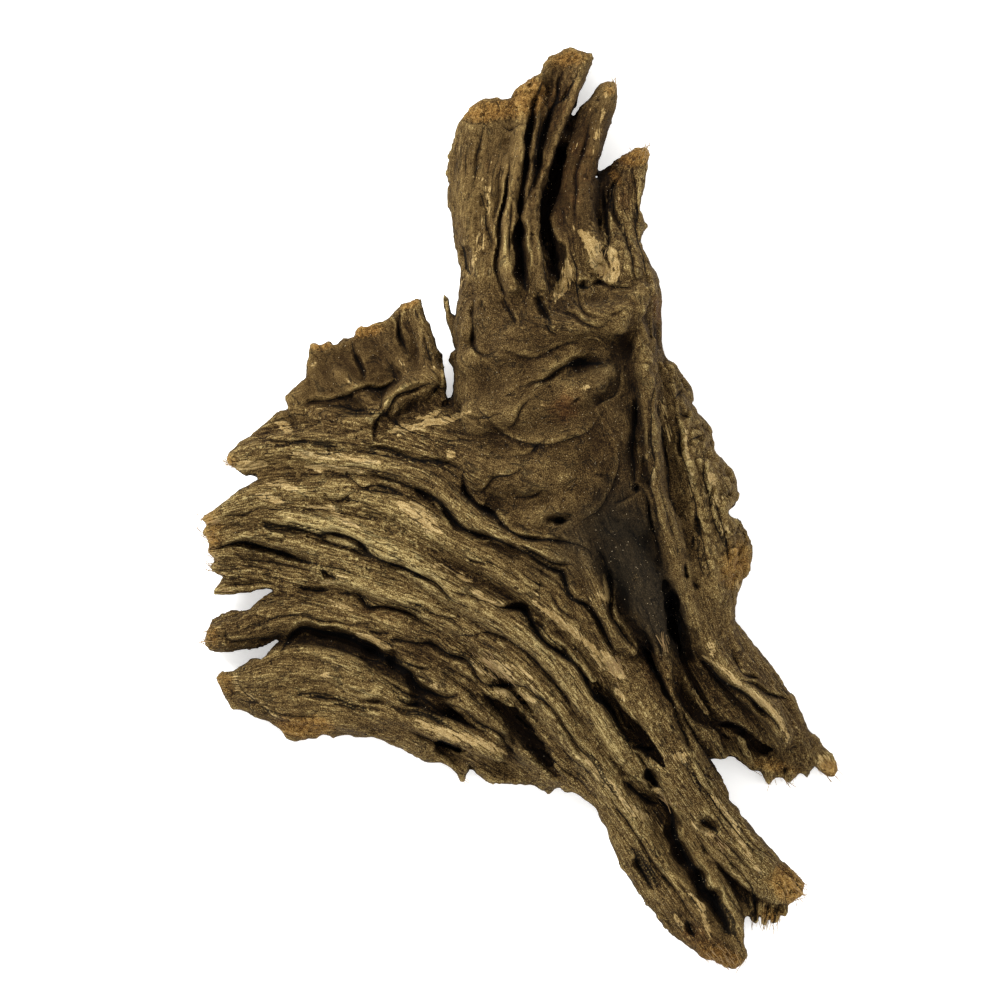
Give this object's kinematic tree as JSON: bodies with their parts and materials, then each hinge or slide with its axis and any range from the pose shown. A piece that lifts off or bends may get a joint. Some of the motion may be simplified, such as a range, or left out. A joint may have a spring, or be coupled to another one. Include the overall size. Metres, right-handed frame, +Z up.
{
  "type": "honeycomb driftwood piece",
  "caption": "Gnarled crown of weathered aquarium driftwood with fanned, furrowed roots and forked, broken limbs, lying on its low side.",
  "frame": {"origin": "middle of the piece's box in plan, on the surface that it lies on", "axes": "+Z up from the surface; +Y along the piece towards its broken upper limbs; the root fan is towards -X and the right branch towards +X"},
  "size_m": [0.2116, 0.3072, 0.0655],
  "materials": {
    "knot": "weathered, dark and matt, with mineral stain",
    "upper_limb": "weathered, furrowed and matt",
    "middle_prong": "weathered, furrowed and matt",
    "right_prong": "weathered, furrowed and matt",
    "top_sheet": "weathered, checked and matt",
    "left_root_fan": "weathered, fibrous and matt",
    "left_finger": "weathered, fibrous and matt",
    "lower_left_lobe": "weathered, fibrous and matt",
    "lower_arm": "weathered, furrowed and matt",
    "right_branch": "weathered, furrowed and matt"
  },
  "bodies": {
    "root": {"knot": "knot", "upper_limb": "upper_limb", "middle_prong": "middle_prong", "right_prong": "right_prong", "top_sheet": "top_sheet", "left_root_fan": "left_root_fan", "left_finger": "left_finger", "lower_left_lobe": "lower_left_lobe", "lower_arm": "lower_arm", "right_branch": "right_branch"}
  },
  "joints": []
}
